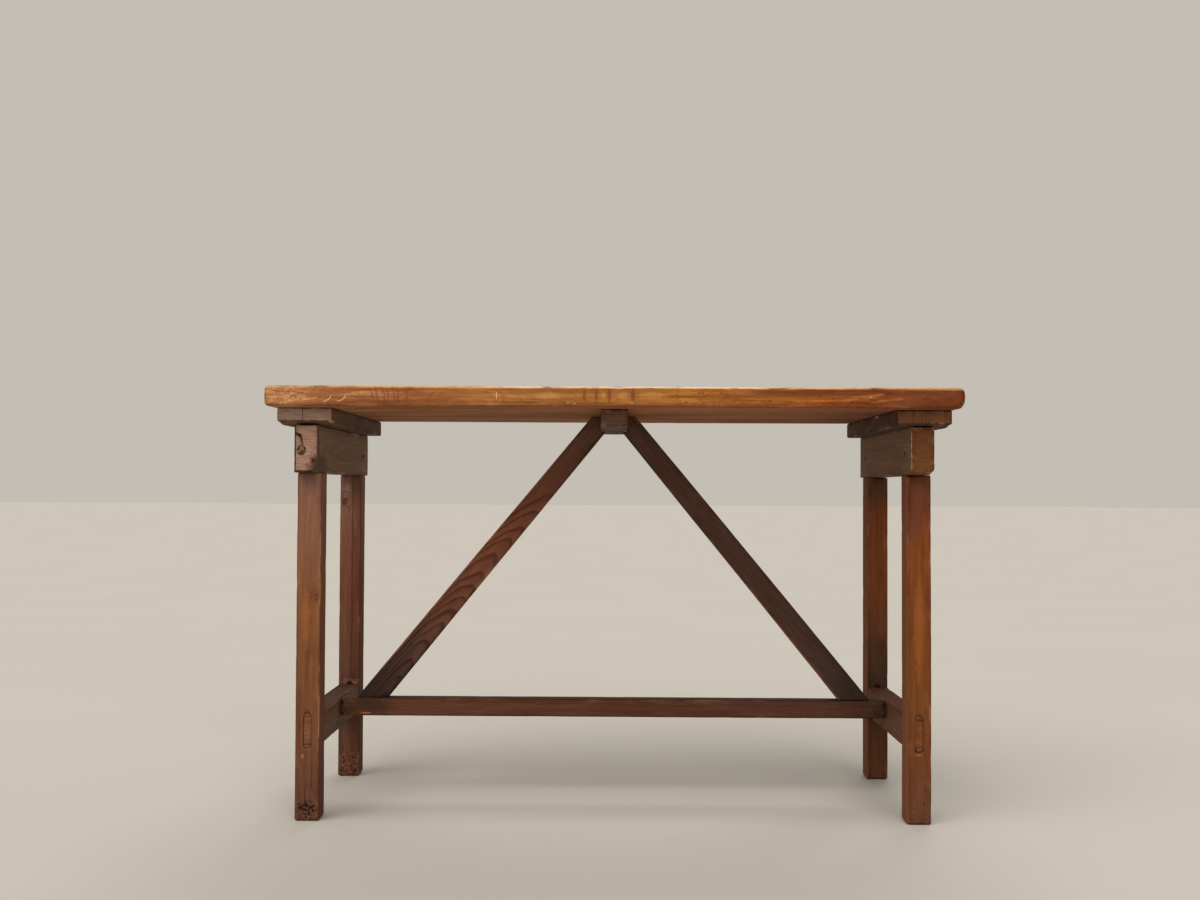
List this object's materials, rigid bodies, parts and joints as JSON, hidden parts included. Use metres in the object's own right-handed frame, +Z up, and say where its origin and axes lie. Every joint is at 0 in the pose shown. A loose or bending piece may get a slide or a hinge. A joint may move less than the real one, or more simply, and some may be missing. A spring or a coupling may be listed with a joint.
{
  "type": "trestle table",
  "caption": "Rustic wooden trestle table: boarded top on two H-shaped ends, with a low stretcher and slanted braces up to the middle of the top.",
  "frame": {"origin": "on the floor, below the middle of the table's outline", "axes": "+X along the table's length, +Y from the front edge to the back, +Z up"},
  "size_m": [1.18, 0.59, 0.75],
  "materials": {
    "top_wood": "waxed, worn, honey brown",
    "batten_wood": "aged, grey brown",
    "frame_wood": "waxed, worn, red brown",
    "peg_wood": "aged, dark",
    "old_iron": "dark, rusted"
  },
  "bodies": {
    "root": {"top_board_front": "top_wood", "top_board_middle": "top_wood", "top_board_rear": "top_wood", "batten_left": "batten_wood", "batten_right": "batten_wood", "batten_centre": "batten_wood", "head_rail_left": "frame_wood", "head_rail_right": "frame_wood", "leg_front_left": "frame_wood", "leg_rear_left": "frame_wood", "leg_front_right": "frame_wood", "leg_rear_right": "frame_wood", "cross_rail_left": "frame_wood", "cross_rail_right": "frame_wood", "stretcher": "frame_wood", "brace_left": "frame_wood", "brace_right": "frame_wood", "leg_pegs": "peg_wood", "tenon_wedges": "peg_wood", "rail_dowels": "peg_wood", "batten_nails": "old_iron", "brace_nails": "old_iron"}
  },
  "joints": []
}
